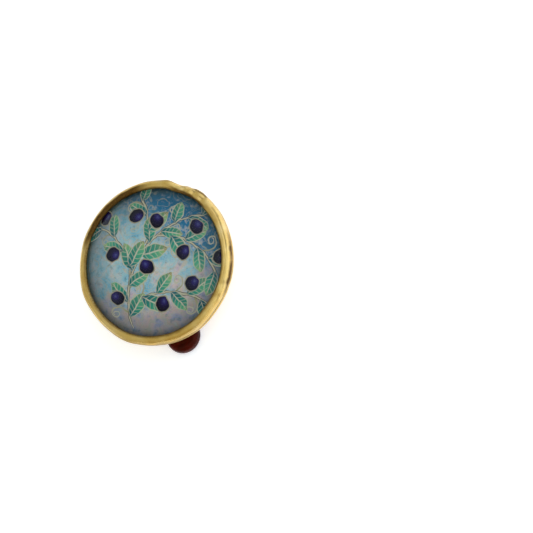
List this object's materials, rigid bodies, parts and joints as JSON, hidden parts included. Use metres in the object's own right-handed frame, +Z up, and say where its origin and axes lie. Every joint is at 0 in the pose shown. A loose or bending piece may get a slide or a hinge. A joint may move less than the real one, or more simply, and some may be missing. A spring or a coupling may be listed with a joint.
{
  "type": "clip-on button earring",
  "caption": "Round clip-on button earring: gold cup with a rolled lip, domed glass over a disc printed with leaves and berries, and a hinged back clip with a slip-on cushion",
  "frame": {"origin": "on the surface the earring lies on, under the middle of its bounding box", "axes": "+Z up from that surface, +Y from the hinge towards the clip's tip, +X along the hinge axis; the face leans 8 degrees towards +Y"},
  "size_m": [0.027, 0.028, 0.0105],
  "materials": {
    "gold_plate": "polished yellow gold plate on stamped brass",
    "printed_disc": "matt colour print on card under the glass",
    "clear_glass": "clear moulded glass, fire polished",
    "pin_metal": "drawn wire, plated, ends peened",
    "clip_metal": "stamped strip, gold plated, satin",
    "cushion_rubber": "glossy dark red-brown moulded vinyl rubber"
  },
  "bodies": {
    "clip": {"clip_paddle": "clip_metal", "rubber_sleeve": "cushion_rubber"},
    "button": {"bezel_setting": "gold_plate", "print_disc": "printed_disc", "glass_cabochon": "clear_glass", "hinge_pin": "pin_metal"}
  },
  "joints": [
    {"name": "clip_hinge", "type": "hinge", "parent": "clip", "child": "button", "pos_m": [0, -0.00426, 0.00155], "axis": [1, 0, 0], "range_deg": [0, 100], "stiffness_Nm_per_rad": 0.001, "springref_deg": -28.65}
  ]
}
